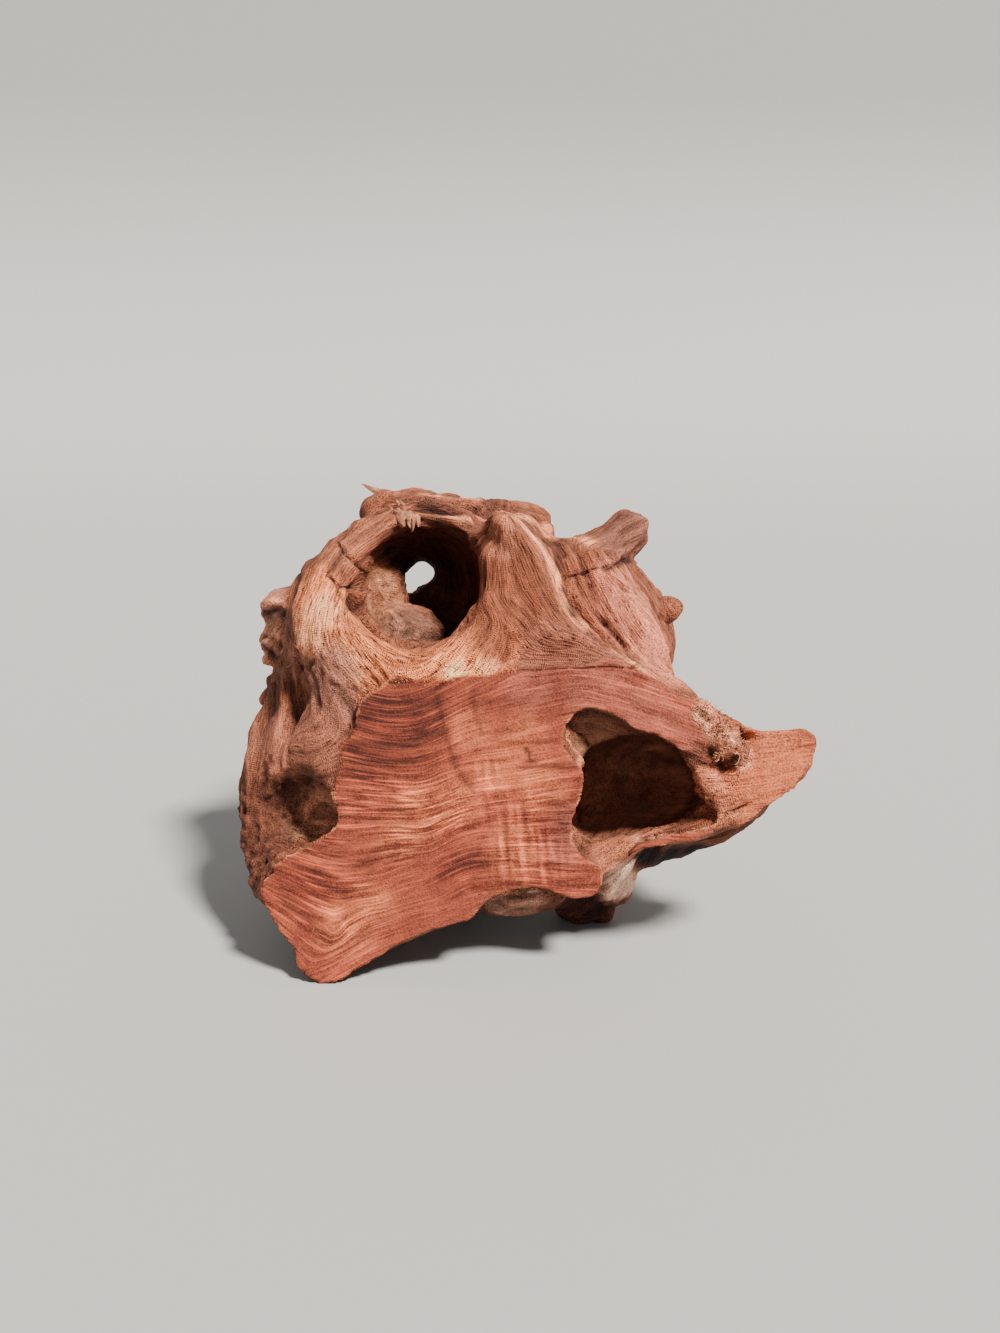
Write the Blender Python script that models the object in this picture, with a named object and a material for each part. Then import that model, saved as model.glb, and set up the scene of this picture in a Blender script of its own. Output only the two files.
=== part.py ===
"""A knotty piece of red driftwood, bandsawn flat on one side and weathered everywhere else.

Run it with: blender --background --python part.py

The wood is drawn in the frame of its sawn face: x runs across the face, y goes into the wood behind it
and z runs up it, in millimetres. Limbs, lumps and hollows are distance fields on one grid, blended as
wood grows together. Blender then thins the mesh out, saws the face and the feet flat and leans the piece
back until it stands on its three feet, in metres, +Z up.
"""

import math

import bpy
import numpy as np
import openvdb
from mathutils import Matrix, Vector

# Driving dimensions, in millimetres and degrees.
CELL = 1.4
GRID_LOW = (-90.0, -4.0, -92.0)
GRID_HIGH = (92.0, 116.0, 66.0)
LEAN_DEG = 15.0
FOOT_LEVEL = -83.5
MOST_TRIANGLES = 11000
SURFACE_WAVES = 0.8
SHARP_DEG = 42.0

# The outline of the sawn face, clockwise from the front foot, as (x, z).
FACE = [
    (-45.5, -84), (-38, -80), (-29, -73.5), (-19, -68.5), (-8, -66.5), (-4, -61),
    (2, -58.5), (10, -58), (19, -61), (26, -60), (29, -54), (37, -48.5),
    (51, -45.5), (63, -41.5), (77, -32), (80.5, -26), (82, -20), (80.5, -17.5), (67, -17.5),
    (60, -13.5), (53, -10.5), (46, -9), (38, -3), (30, -1), (18, -1),
    (4, -1), (-6, -4), (-27, -4), (-36, -9), (-39, -20), (-39.5, -34),
    (-43, -43), (-58, -53), (-62.5, -59), (-60, -66), (-54, -74), (-53, -79), (-50.5, -81.2),
]


def axes():
    """Coordinates of the grid's points, as three arrays that broadcast to the whole block."""
    low, high = np.array(GRID_LOW), np.array(GRID_HIGH)
    counts = np.ceil((high - low) / CELL).astype(int)
    steps = [(low[i] + CELL * np.arange(counts[i])).astype(np.float32) for i in range(3)]
    return steps[0][:, None, None], steps[1][None, :, None], steps[2][None, None, :]


X, Y, Z = axes()


def fuse(a, b, blend):
    """Union of two fields, with a fillet about as wide as blend."""
    near = np.maximum(blend - np.abs(a - b), 0) / blend
    return np.minimum(a, b) - near * near * blend / 4


def carve(a, b, blend):
    """Field a without b, its rim rounded about as wide as blend."""
    return -fuse(-a, b, blend)


def curve_through(stations, closed, parts=3):
    """Catmull-Rom points through the stations, parts to each stretch."""
    knots = np.array(stations, float)
    if closed:
        knots = np.vstack([knots[-1], knots, knots[:2]])
    else:
        knots = np.vstack([2 * knots[0] - knots[1], knots, 2 * knots[-1] - knots[-2]])
    t = (np.arange(parts) / parts)[:, None]
    made = []
    for p, q, r, s in zip(knots, knots[1:], knots[2:], knots[3:]):
        made.append(
            q + t * (r - p) / 2 + t**2 * (p - 2.5 * q + 2 * r - s / 2) + t**3 * (3 * q - p - 3 * r + s) / 2
        )
    return np.vstack(made + [knots[-2][None, :]])


def tube(stations, closed=False):
    """Distance to a limb through the stations, each (x, y, z, radius)."""
    points = curve_through(stations, closed)
    field = None
    for a, b in zip(points, points[1:]):
        run = b[:3] - a[:3]
        ax, ay, az = X - a[0], Y - a[1], Z - a[2]
        t = np.clip((ax * run[0] + ay * run[1] + az * run[2]) / max(run @ run, 1e-6), 0, 1)
        gap = np.sqrt((ax - t * run[0]) ** 2 + (ay - t * run[1]) ** 2 + (az - t * run[2]) ** 2)
        gap = gap - (a[3] + t * (b[3] - a[3]))
        field = gap if field is None else np.minimum(field, gap)
    return field


def lump(centre, radii, turn=(0, 0, 0)):
    """Distance to an ellipsoid, turned about x, y and z in degrees."""
    matrix = Matrix.Identity(3)
    for angle, axis in zip(turn, "XYZ"):
        matrix = Matrix.Rotation(math.radians(angle), 3, axis) @ matrix
    back = np.array(matrix.transposed(), np.float32)
    x, y, z = X - centre[0], Y - centre[1], Z - centre[2]
    local = [back[i, 0] * x + back[i, 1] * y + back[i, 2] * z for i in range(3)]
    scaled = np.sqrt(sum((part / r) ** 2 for part, r in zip(local, radii))) + 1e-6
    steep = np.sqrt(sum((part / r**2) ** 2 for part, r in zip(local, radii))) + 1e-6
    return scaled * (scaled - 1) / steep


def plate(outline, front, back, flare, rounding):
    """Distance to an outline in x and z, from front to back; flare widens it by that much a millimetre."""
    x, z = X[:, :, 0], Z[0, :, :]
    gap = np.full((x.shape[0], z.shape[1]), 1e9, np.float32)
    inside = np.zeros(gap.shape, bool)
    for (ax, az), (bx, bz) in zip(outline, outline[1:] + outline[:1]):
        ex, ez = bx - ax, bz - az
        t = np.clip(((x - ax) * ex + (z - az) * ez) / (ex * ex + ez * ez), 0, 1)
        gap = np.minimum(gap, (x - ax - t * ex) ** 2 + (z - az - t * ez) ** 2)
        if ez:
            crosses = ((az <= z) & (z < bz)) | ((bz <= z) & (z < az))
            inside ^= crosses & (x < ax + (z - az) * ex / ez)
    side = np.where(inside, -np.sqrt(gap), np.sqrt(gap))[:, None, :]
    side = side - flare * np.maximum(Y, 0)
    return np.maximum(-fuse(-side, back - Y, rounding), front - Y)


def undulation(size, seed):
    """Smooth waves about 1 high and about size long, the same each run."""
    random = np.random.default_rng(seed)
    total = 0
    for _ in range(7):
        way = random.normal(size=3)
        way *= 2 * math.pi / size / np.linalg.norm(way) * random.uniform(0.7, 1.4)
        total = total + np.sin(way[0] * X + way[1] * Y + way[2] * Z + random.uniform(0, 2 * math.pi))
    return total / 2.6


def trunk():
    """The solid wood behind the sawn face."""
    body = plate(FACE, -20, 11, 0.05, 14)
    body = fuse(body, lump((-34, 28, -36), (35, 25, 29), (0, 25, 0)), 12)
    body = fuse(body, lump((-46, 34, -26), (22, 22, 24)), 10)
    body = fuse(body, lump((6, 36, -26), (38, 34, 32)), 14)
    body = fuse(body, lump((-6, 56, -12), (46, 35, 38)), 12)
    body = fuse(body, lump((-17, 55, 17), (33, 31, 30)), 10)
    body = fuse(body, lump((25.5, 55, 3), (26.5, 28, 28)), 12)
    body = fuse(body, lump((42, 22, -30), (24, 20, 18), (0, -20, 0)), 10)
    return fuse(body, lump((34, 15, -8), (20, 13, 8), (0, 20, 0)), 5)


def ring():
    """The thick rim round the big round hole."""
    return tube(
        [
            (-22, 8, -0.5, 6), (-35, 10.5, 1.5, 8), (-46, 15, 7.5, 8.5), (-50.5, 22, 18, 7),
            (-45.5, 30, 29, 5), (-38.5, 36, 36.5, 4.8), (-27.5, 41, 42.5, 5.2), (-17, 42, 43, 4.5),
            (-6.5, 35, 36, 4.5), (1, 25.5, 25.5, 7), (2, 18, 12, 7.5), (-8, 11, 2.5, 7),
        ],
        closed=True,
    )


def prow():
    """The wedge of wood right of the ring: its front, its crest, the peak and the trough beyond."""
    field = tube([(3, 36, 29, 9), (7, 29, 21, 11), (11, 23, 10, 12), (20, 20, -2, 12)])
    field = fuse(field, tube([(-3, 18, 11, 8), (7, 17, 8, 9), (17, 15, 3, 8)]), 6)
    field = fuse(field, tube([(20, 39, 23, 11), (26, 33, 9, 12), (33, 25, -6, 12)]), 8)
    field = fuse(field, tube([(32, 46, 22, 10), (37, 40, 8, 10), (37, 28, -8, 9)]), 8)
    crest = tube([
        (2, 27, 36, 4), (6, 24, 31, 5), (10, 20, 24, 5.5), (13.5, 15.5, 15, 5.5),
        (20, 11, 6, 5), (28, 6, -1, 4),
    ])
    field = fuse(field, crest, 7)
    roof = tube([(2, 27, 36, 4), (5, 38, 38.5, 5), (8, 50, 41, 6)])
    field = fuse(field, roof, 6)
    edge = tube([
        (1.5, 56, 47.5, 1.5), (2, 40, 43.5, 1.2), (0.5, 22, 39.5, 1), (5, 19, 33.5, 1.4),
        (9.5, 15.5, 25, 1.4), (13, 11, 15, 1.4),
    ])
    field = fuse(field, edge, 5)
    second = tube([
        (29, 40, 29, 4), (34.5, 31.5, 19, 5), (39, 25, 9, 5), (42.5, 16, -2.5, 4),
        (46, 8, -11, 3.5),
    ])
    field = fuse(field, second, 6)
    trough = tube([
        (20, 32, 41, 5), (23, 27, 33, 7), (26.5, 21.5, 21, 8), (32.5, 13, 11, 6.5),
        (40, 2, 3, 4), (48, -8, -3, 3),
    ])
    return carve(field, trough, 4)


def lintel():
    """The wood over the round hole."""
    return tube([
        (-37, 50, 45, 4.5), (-27, 56, 46, 6), (-13, 58, 45, 6), (0, 58, 43.5, 6),
        (7, 58, 43, 5.5), (13, 52, 33, 6),
    ])


def horn():
    """The blunt horn at the top right."""
    return tube([
        (12, 48, 24, 10), (20, 46, 28, 8), (28, 46.5, 32.4, 7.2), (33, 47, 36, 6.3),
        (37.3, 48, 39.9, 6.2),
    ])


def stubs():
    """Short stubs of broken rootlets."""
    field = tube([(40, 46, 13, 3), (46, 46, 15, 2.4), (48.8, 46, 16.2, 3.2)])
    field = np.minimum(field, tube([(-58, 46, 2, 3), (-68, 43, 1.5, 1.8)]))
    field = np.minimum(field, tube([(-58, 46, -4, 3.5), (-66.5, 43, -4.5, 2.4)]))
    return np.minimum(field, tube([(-58, 46, -10, 3.5), (-67.5, 43, -10, 2.8)]))


def left_side():
    """The ridge down the left and the stepped lump behind the ring."""
    field = tube([
        (-54, 32, 8, 5), (-59, 32, -6, 5), (-63, 30, -22, 5.5), (-65.5, 26, -36, 5.5),
        (-65, 22, -48, 6), (-60, 14, -58, 7),
    ])
    field = fuse(field, tube([(-40, 12, 0, 9), (-44, 11, -12, 7), (-46, 10, -24, 6.5)]), 6)
    field = fuse(field, tube([(-48, 32, 24, 6), (-50, 31, 10, 9), (-50, 28, -6, 10)]), 6)
    field = fuse(field, tube([
        (-46, 44, 22, 10), (-52, 48, 10, 11), (-54, 46, -6, 12), (-52, 44, -24, 14),
    ]), 8)
    field = fuse(field, lump((-58.5, 51, 18), (13, 13, 6.5), (0, -12, 0)), 4)
    return fuse(field, lump((-59.5, 52, 7), (12, 11, 8)), 3)


def feet():
    """The front foot, the knuckle at the right and the rear foot."""
    field = tube([(-45, 6, -79.5, 3.5), (-42, 13, -70, 7.5), (-34, 24, -58, 14)])
    field = fuse(field, tube([(27, 12, -53, 5), (31, 21, -58, 5), (31, 29, -63, 5)]), 3)
    field = fuse(field, lump((24, 38, -66), (9.5, 8, 9)), 4)
    field = fuse(field, lump((3, 28, -62), (17, 12, 8)), 6)
    field = fuse(field, tube([
        (-12, 91, -62, 5.5), (-14, 86, -53, 8), (-15, 79, -40, 13), (-10, 66, -26, 20),
    ]), 10)
    return fuse(field, tube([(-14, 86, -53, 8), (-30, 70, -50, 10), (-42, 48, -46, 12)]), 8)


def keel():
    """The flared wall under the pocket at the right."""
    return tube([
        (32, 18, -48, 5), (44, 20, -49, 5), (54, 17, -46.5, 4.5), (64, 10, -39, 4),
        (73, 4, -31, 3),
    ])


def pocket():
    """The deep pocket in the sawn face, with its shallow lobe and the low lip where it spills out."""
    mouth = [
        (22.5, -29), (23, -25), (32, -16.5), (41, -18.5), (48, -24), (50.5, -31), (53, -37.5), (59, -40.5),
        (50, -43), (36, -46.5), (32, -50), (30, -60), (27.5, -60), (27, -53), (21, -49.5), (18, -45),
    ]
    field = plate(mouth, -14, 7, 0, 3)
    field = fuse(field, lump((36.5, 19, -32), (18, 22, 14)), 6)
    field = fuse(field, lump((25, 22, -38), (9, 18, 11)), 5)
    return fuse(field, lump((26, 1, -20), (10, 9, 8), (0, 30, 0)), 2)


def round_hole():
    """The round hole, the chamber behind it and the small way out at the back."""
    field = tube([
        (-22.5, -10, 20, 16.5), (-22.5, 12, 21.5, 16.5), (-22, 30, 23, 17),
        (-20, 46, 21, 19), (-18, 54, 19, 17),
    ])
    way_out = tube([(-24, 60, 27, 4), (-25, 80, 30, 4), (-27, 120, 37, 4)])
    way_out = fuse(way_out, tube([(-27, 60, 24, 4), (-29, 80, 26, 3.2), (-31, 120, 31, 4)]), 2)
    return fuse(field, way_out, 4)


def chamber_lumps():
    """Two lumps of wood left inside the chamber."""
    field = lump((-36.5, 55, 23), (9, 11, 11), (0, -15, 0))
    return fuse(field, lump((-29, 50, 9), (13, 12, 9)), 3)


def left_dents():
    """The oval hollow at the left and the trough above it."""
    field = lump((-52.5, 8.5, -40), (13.5, 12.5, 9.5), (0, 20, 8))
    return fuse(field, tube([(-56, 22, 2, 2.5), (-55, 17, -8, 4), (-55.5, 16, -20, 3)]), 6)


def peak_dent():
    """The scoop between the peak and the wood over the hole."""
    return tube([(-12, 26, 43, 3), (-5, 34, 44, 4.5), (-1, 43, 46.5, 4), (0, 52, 52, 2)])


def bar_groove():
    """The groove that parts the ring's upper bar from the wood over the hole."""
    return tube([(-50, 30, 37, 1.5), (-39, 41, 43.5, 2.2), (-30, 46, 48, 2.6), (-18, 48, 49.5, 1.8)])


def back_dents():
    """Worn hollows in the back."""
    field = lump((20, 96, -4), (14, 17, 20), (0, 25, 0))
    field = fuse(field, tube([(34, 82, -18, 7), (28, 78, -36, 8), (8, 78, -50, 7)]), 8)
    field = np.minimum(field, lump((-42, 88, -20), (12, 15, 16), (0, -15, 0)))
    return np.minimum(field, tube([(-6, 96, 22, 5), (4, 92, 30, 6), (14, 84, 36, 6)]))


def back_ridges():
    """Roots and swellings that run over the back."""
    field = tube([
        (-14, 82, -40, 7), (-16, 87, -18, 7), (-8, 88, 4, 7), (6, 83, 18, 7),
        (16, 70, 29, 7),
    ])
    field = fuse(field, tube([(-16, 87, -18, 6), (-34, 80, 2, 6), (-44, 64, 16, 7)]), 8)
    field = fuse(field, tube([(-8, 88, 4, 6), (16, 82, -18, 7), (37, 64, -24, 8), (46, 42, -28, 8)]), 8)
    return fuse(field, tube([(38, 60, 20, 6), (42, 64, 4, 7), (36, 70, -8, 7)]), 8)


def wood_field():
    """The whole piece before it is sawn."""
    body = trunk()
    body = fuse(body, ring(), 6)
    body = fuse(body, prow(), 6)
    body = fuse(body, lintel(), 6)
    body = fuse(body, left_side(), 7)
    body = fuse(body, horn(), 7)
    body = fuse(body, keel(), 6)
    body = carve(body, peak_dent(), 3)
    body = carve(body, bar_groove(), 2)
    body = carve(body, back_dents(), 7)
    body = fuse(body, back_ridges(), 6)
    body = fuse(body, feet(), 6)
    body = body + SURFACE_WAVES * undulation(34, 3) + SURFACE_WAVES / 2 * undulation(13, 8)
    body = fuse(body, stubs(), 1.5)
    body = carve(body, round_hole(), 4)
    body = fuse(body, chamber_lumps(), 3)
    body = carve(body, left_dents(), 4)
    body = fuse(body, plate(FACE, -20, 11, 0.05, 14), 2)
    return carve(body, pocket(), 2)


def mesh_from_field(field):
    """The surface where the field is 0, as a Blender object in metres."""
    grid = openvdb.FloatGrid(4.0)
    grid.copyFromArray(np.clip(field, -4, 4).astype(np.float32))
    grid.gridClass = openvdb.GridClass.LEVEL_SET
    points, quads = grid.convertToQuads(0.0)
    points = np.array(GRID_LOW) + CELL * points
    mesh = bpy.data.meshes.new("driftwood")
    mesh.from_pydata((points / 1000).tolist(), [], quads[:, ::-1].tolist())
    wood = bpy.data.objects.new("driftwood", mesh)
    bpy.context.scene.collection.objects.link(wood)
    return wood


def cutter(name, size, place):
    """A box that saws the wood, size in millimetres, put where the matrix says."""
    mesh = bpy.data.meshes.new(name)
    x, y, z = [side / 2000 for side in size]
    corners = [(i * x, j * y, k * z) for i in (-1, 1) for j in (-1, 1) for k in (-1, 1)]
    faces = [(0, 1, 3, 2), (4, 6, 7, 5), (0, 4, 5, 1), (2, 3, 7, 6), (0, 2, 6, 4), (1, 5, 7, 3)]
    mesh.from_pydata(corners, [], faces)
    box = bpy.data.objects.new(name, mesh)
    bpy.context.scene.collection.objects.link(box)
    box.matrix_world = place
    box.hide_render = True
    box.display_type = "WIRE"
    return box


def add_modifier(wood, kind, name, **settings):
    modifier = wood.modifiers.new(name, kind)
    for key, value in settings.items():
        setattr(modifier, key, value)
    return modifier


def settle(wood):
    """The wood's mesh with its modifiers worked out."""
    bpy.context.view_layer.update()
    graph = bpy.context.evaluated_depsgraph_get()
    mesh = bpy.data.meshes.new_from_object(wood.evaluated_get(graph))
    mesh.name = "driftwood"
    wood.modifiers.clear()
    wood.data = mesh


def paint(wood):
    material = bpy.data.materials.new("weathered red wood")
    material.use_nodes = True
    shader = material.node_tree.nodes["Principled BSDF"]
    shader.inputs["Base Color"].default_value = (0.36, 0.155, 0.095, 1)
    shader.inputs["Roughness"].default_value = 0.82
    shader.inputs["Metallic"].default_value = 0.0
    wood.data.materials.append(material)


def main():
    for old in list(bpy.data.objects):
        bpy.data.objects.remove(old)
    wood = mesh_from_field(wood_field())
    raw = 2 * len(wood.data.polygons)
    add_modifier(wood, "DECIMATE", "thin out", ratio=MOST_TRIANGLES / raw)
    settle(wood)
    lean = Matrix.Rotation(math.radians(-LEAN_DEG), 4, "X")
    wood.data.transform(lean)
    saw = cutter("saw cut", (300, 100, 300), lean @ Matrix.Translation((0, -0.05, 0)))
    floor_z = FOOT_LEVEL / 1000 * math.cos(math.radians(LEAN_DEG))
    floor = cutter("foot cut", (300, 300, 100), Matrix.Translation((0, 0.05, floor_z - 0.05)))
    add_modifier(wood, "BOOLEAN", "sawn face", operation="DIFFERENCE", object=saw, solver="EXACT")
    add_modifier(wood, "BOOLEAN", "feet", operation="DIFFERENCE", object=floor, solver="EXACT")
    settle(wood)
    for box in (saw, floor):
        bpy.data.objects.remove(box)
    low = Vector([min(v.co[i] for v in wood.data.vertices) for i in range(3)])
    high = Vector([max(v.co[i] for v in wood.data.vertices) for i in range(3)])
    middle = (low + high) / 2
    wood.data.transform(Matrix.Translation((-middle.x, -middle.y, -low.z)))
    wood.data.shade_smooth()
    wood.data.set_sharp_from_angle(angle=math.radians(SHARP_DEG))
    paint(wood)
    print("driftwood", [round(1000 * s, 2) for s in high - low], "face origin at",
          [round(-1000 * t, 3) for t in (middle.x, middle.y, low.z)])


main()
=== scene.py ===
"""Render scene of a knotty piece of red driftwood, bandsawn flat on one side and weathered elsewhere.

Lengths are worked out in millimetres in the frame of the sawn face: x across the face, y into the wood
behind it, z up it. Places on the wood are also named by the pixel (u, v) of a 1000 by 1333 view from the
camera, which is followed back to the wood.
"""
import itertools
import math

import bmesh
import bpy
import numpy as np
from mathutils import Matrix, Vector
from mathutils.bvhtree import BVHTree


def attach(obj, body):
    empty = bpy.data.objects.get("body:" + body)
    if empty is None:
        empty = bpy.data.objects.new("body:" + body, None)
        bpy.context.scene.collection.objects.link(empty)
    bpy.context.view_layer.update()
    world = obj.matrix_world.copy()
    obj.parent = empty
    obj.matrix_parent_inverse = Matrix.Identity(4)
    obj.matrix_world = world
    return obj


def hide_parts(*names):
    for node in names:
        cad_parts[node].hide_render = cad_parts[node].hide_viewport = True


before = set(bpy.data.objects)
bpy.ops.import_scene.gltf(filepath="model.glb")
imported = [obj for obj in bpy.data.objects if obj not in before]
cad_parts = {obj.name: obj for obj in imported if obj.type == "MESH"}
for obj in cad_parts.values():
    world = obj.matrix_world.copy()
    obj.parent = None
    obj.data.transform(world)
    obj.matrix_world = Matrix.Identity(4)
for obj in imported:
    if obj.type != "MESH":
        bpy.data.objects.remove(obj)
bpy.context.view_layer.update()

# The sawn face leans back from upright. Its frame's origin is given in the row's frame, in mm.
LEAN = math.radians(15)
LEAN_COS, LEAN_SIN = math.cos(LEAN), math.sin(LEAN)
FACE_ORIGIN = np.array([-4.876, -36.767, 80.655])

# The camera looks square at the face's plane from CAMERA_GAP mm, and VIEW_MIDDLE is the pixel straight ahead.
CAMERA_GAP = 363.0
FOCAL_PIXELS = 1389.0
VIEW_MIDDLE = (500.0, 665.0)
VIEW_HEIGHT = 1333

# The even mesh's cell in mm, and the most triangles that the wood keeps.
VOXEL = 0.8
MOST_TRIANGLES = 196000

# Millimetres from a crack that stand for none near.
NO_CRACK = 9.0

# The grid on which the grain is worked out: its cell and its corners in mm, in the face frame.
GRAIN_CELL = 4.0
GRAIN_LOW = np.array([-92.0, -6.0, -100.0])
GRAIN_HIGH = np.array([92.0, 122.0, 66.0])


def turned_to_face(v):
    """Vectors of the row's frame in the face frame: the lean undone about x."""
    x, y, z = v[..., 0], v[..., 1], v[..., 2]
    return np.stack([x, y * LEAN_COS - z * LEAN_SIN, y * LEAN_SIN + z * LEAN_COS], axis=-1)


def turned_from_face(v):
    """Vectors of the face frame in the row's frame: leant back about x."""
    x, y, z = v[..., 0], v[..., 1], v[..., 2]
    return np.stack([x, y * LEAN_COS + z * LEAN_SIN, z * LEAN_COS - y * LEAN_SIN], axis=-1)


def to_face(p):
    """Points of the row's frame in the face frame, both in mm."""
    return turned_to_face(np.asarray(p, float) - FACE_ORIGIN)


def from_face(p):
    """Points of the face frame in the row's frame, both in mm."""
    return FACE_ORIGIN + turned_from_face(np.asarray(p, float))


def linear(hex_colour):
    """An sRGB hex colour as linear red, green and blue: ((c + 0.055) / 1.055) to the power 2.4."""
    parts = np.array([int(hex_colour[i : i + 2], 16) / 255 for i in (1, 3, 5)])
    return np.where(parts <= 0.04045, parts / 12.92, ((parts + 0.055) / 1.055) ** 2.4)


def merged_copy(node, name):
    """A new object with the CAD node's mesh, its doubled corners merged."""
    mesh = node.data.copy()
    shape = bmesh.new()
    shape.from_mesh(mesh)
    bmesh.ops.remove_doubles(shape, verts=shape.verts, dist=1e-6)
    shape.to_mesh(mesh)
    shape.free()
    mesh.materials.clear()
    mesh.name = name
    piece = bpy.data.objects.new(name, mesh)
    bpy.context.scene.collection.objects.link(piece)
    return piece


def settle(piece):
    """Puts the piece's modifiers into its mesh."""
    bpy.context.view_layer.update()
    graph = bpy.context.evaluated_depsgraph_get()
    mesh = bpy.data.meshes.new_from_object(piece.evaluated_get(graph))
    mesh.name = piece.name
    piece.modifiers.clear()
    piece.data = mesh


def points_of(mesh):
    """The mesh's points in mm."""
    flat = np.empty(len(mesh.vertices) * 3, np.float32)
    mesh.vertices.foreach_get("co", flat)
    return flat.reshape(-1, 3).astype(float) * 1000


def put_points(mesh, points):
    """Moves the mesh's points to places in mm."""
    mesh.vertices.foreach_set("co", (np.asarray(points, np.float32) / 1000).ravel())
    mesh.update()


def normals_of(mesh):
    """Outward unit normals at the points, in the face frame."""
    flat = np.empty(len(mesh.vertices) * 3, np.float32)
    mesh.vertex_normals.foreach_get("vector", flat)
    return turned_to_face(flat.reshape(-1, 3).astype(float))


def edges_of(mesh):
    """The two point numbers of each edge."""
    flat = np.empty(len(mesh.edges) * 2, np.int32)
    mesh.edges.foreach_get("vertices", flat)
    return flat.reshape(-1, 2)


def neighbour_mean(values, edges):
    """Mean of each point's neighbours along the edges."""
    a, b = edges[:, 0], edges[:, 1]
    count = len(values)
    share = np.bincount(edges.ravel(), minlength=count)
    return np.stack([
        (np.bincount(a, values[b, i], count) + np.bincount(b, values[a, i], count)) / share
        for i in range(values.shape[1])
    ], axis=1)


def smooth(points, edges, rounds, hold, parts=(0.5, -0.52)):
    """Each round moves the points by each part of the way to their neighbours' mean, times hold.

    Moving 0.5 of the way and then 0.52 back shrinks nothing. Where hold is 0 a point stays."""
    for _ in range(rounds):
        for part in parts:
            points = points + part * hold[:, None] * (neighbour_mean(points, edges) - points)
    return points


# ---- Places named by pixels of the view ----

wood = merged_copy(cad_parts["driftwood"], "driftwood_wood")
wood_tree = BVHTree.FromPolygons(
    [Vector(p) for p in to_face(points_of(wood.data))], [tuple(f.vertices) for f in wood.data.polygons]
)


def seen(u, v):
    """The wood's point behind pixel (u, v), in the face frame, or None where the view misses it."""
    way = Vector(((u - VIEW_MIDDLE[0]) / FOCAL_PIXELS, 1, (VIEW_MIDDLE[1] - v) / FOCAL_PIXELS))
    hit = wood_tree.ray_cast(Vector((0, -CAMERA_GAP, 0)), way.normalized())[0]
    return None if hit is None else np.array(hit)


def seen_line(pixels, step=7.0):
    """The wood's points behind a line of pixels, about step pixels apart."""
    made = []
    for (ua, va), (ub, vb) in zip(pixels, pixels[1:]):
        count = max(1, round(math.hypot(ub - ua, vb - va) / step))
        made += [seen(ua + (ub - ua) * k / count, va + (vb - va) * k / count) for k in range(count)]
    made.append(seen(*pixels[-1]))
    return np.array([p for p in made if p is not None])


# ---- Grain ----

# Lines that the fibres follow, as pixels; those on the hidden back are points in mm, in the face frame.
FACE_GRAIN = [
    [(369, 698), (396, 700), (424, 689)], [(356, 724), (384, 729), (418, 722), (440, 709)],
    [(351, 744), (382, 750), (413, 747), (440, 731)], [(351, 764), (384, 760), (418, 762), (447, 753)],
    [(351, 773), (382, 780), (413, 793), (433, 807)],
    [(351, 793), (382, 798), (413, 802), (451, 793), (475, 793)],
    [(351, 811), (384, 813), (418, 818), (451, 809)],
    [(347, 824), (373, 829), (396, 836), (413, 851), (431, 864)],
    [(302, 851), (329, 867), (356, 873), (384, 871)],
    [(293, 864), (318, 880), (344, 893), (364, 896), (382, 913)],
    [(262, 902), (284, 920), (307, 940), (324, 951)], [(260, 889), (291, 907), (313, 927), (329, 944)],
    [(324, 973), (338, 951), (356, 924), (378, 902), (400, 882), (424, 862)],
    [(347, 969), (373, 947), (409, 927), (440, 916)], [(436, 884), (449, 862), (471, 851), (491, 853)],
    [(440, 836), (462, 822), (484, 816), (507, 809)], [(492, 742), (568, 741)], [(519, 768), (583, 768)],
    [(537, 813), (574, 804)], [(586, 696), (630, 713), (663, 733), (692, 751)], [(554, 862), (594, 862)],
    [(530, 882), (563, 887), (594, 884)], [(430, 729), (448, 707), (474, 691)],
    [(480, 705), (540, 700), (575, 690)], [(693, 791), (730, 791), (767, 784), (800, 769)],
    [(754, 745), (785, 746), (803, 745)], [(640, 690), (680, 715), (700, 730)],
    [(455, 760), (480, 765), (510, 775)], [(480, 840), (520, 835), (560, 830)],
]
RIM_GRAIN = [
    [(350, 600), (358, 622), (378, 642), (410, 655), (440, 655)],
    [(345, 545), (325, 580), (308, 615), (300, 650)], [(340, 600), (330, 630), (340, 655), (365, 680)],
    [(320, 600), (312, 640), (325, 665), (355, 690)], [(361, 651), (383, 677)], [(345, 640), (372, 684)],
    [(505, 635), (497, 650), (486, 668)], [(487, 632), (476, 650), (462, 672)], [(465, 648), (448, 670)],
    [(440, 650), (425, 670)], [(510, 623), (521, 637), (523, 652)],
    [(343, 553), (364, 539), (388, 522), (400, 511)], [(337, 542), (357, 517), (374, 496), (395, 489)],
    [(421, 496), (447, 492), (480, 498)], [(421, 520), (447, 523), (480, 530)],
    [(438, 532), (461, 542), (473, 560)], [(361, 577), (378, 567), (395, 556)],
    [(364, 622), (387, 601), (412, 603)],
]
PROW_GRAIN = [
    [(503, 521), (483, 539), (471, 558)], [(507, 525), (503, 554), (501, 591), (496, 619)],
    [(510, 530), (520, 554), (533, 584), (551, 610)], [(523, 541), (540, 569), (546, 595), (570, 621)],
    [(486, 599), (510, 610), (529, 628), (544, 643)], [(510, 516), (529, 530), (544, 550)],
    [(536, 519), (555, 536), (566, 547)], [(529, 656), (570, 652), (612, 664)],
    [(559, 569), (562, 595), (581, 624), (607, 643), (623, 658)], [(577, 628), (597, 615), (612, 628)],
    [(594, 569), (607, 599), (623, 636), (644, 663)], [(612, 573), (644, 599), (662, 628), (672, 662)],
    [(588, 541), (607, 532), (625, 517), (638, 514)],
]
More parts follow.
